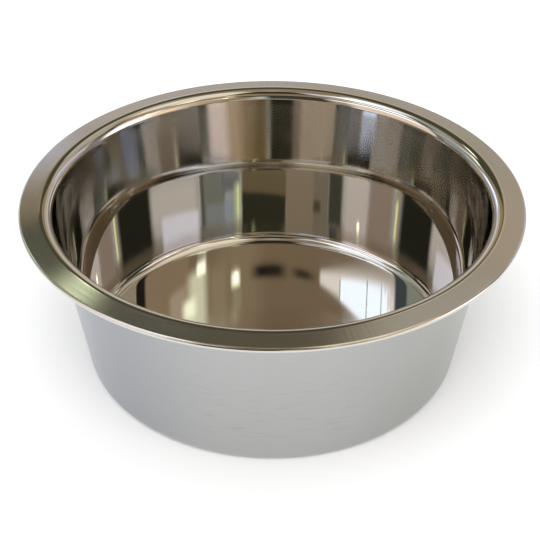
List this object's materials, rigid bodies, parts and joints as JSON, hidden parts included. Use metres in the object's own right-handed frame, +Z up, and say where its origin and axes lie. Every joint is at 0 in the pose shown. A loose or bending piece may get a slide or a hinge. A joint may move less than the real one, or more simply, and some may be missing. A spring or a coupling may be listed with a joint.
{
  "type": "bowl",
  "caption": "Round stainless steel feeding bowl with a sloping flange, rolled edge, straight conical wall and rounded heel, open at the top.",
  "frame": {"origin": "centre of the flat standing ring, on the surface that the bowl stands on", "axes": "+Z up along the bowl's axis of revolution, out of the open top; X and Y lie in the standing surface"},
  "size_m": [0.216, 0.216, 0.0793],
  "materials": {
    "stainless_steel": "mirror-polished inside and on the shoulder and roll, satin on the flange, soft satin on the outside wall"
  },
  "bodies": {
    "root": {"bowl_shell": "stainless_steel"}
  },
  "joints": []
}
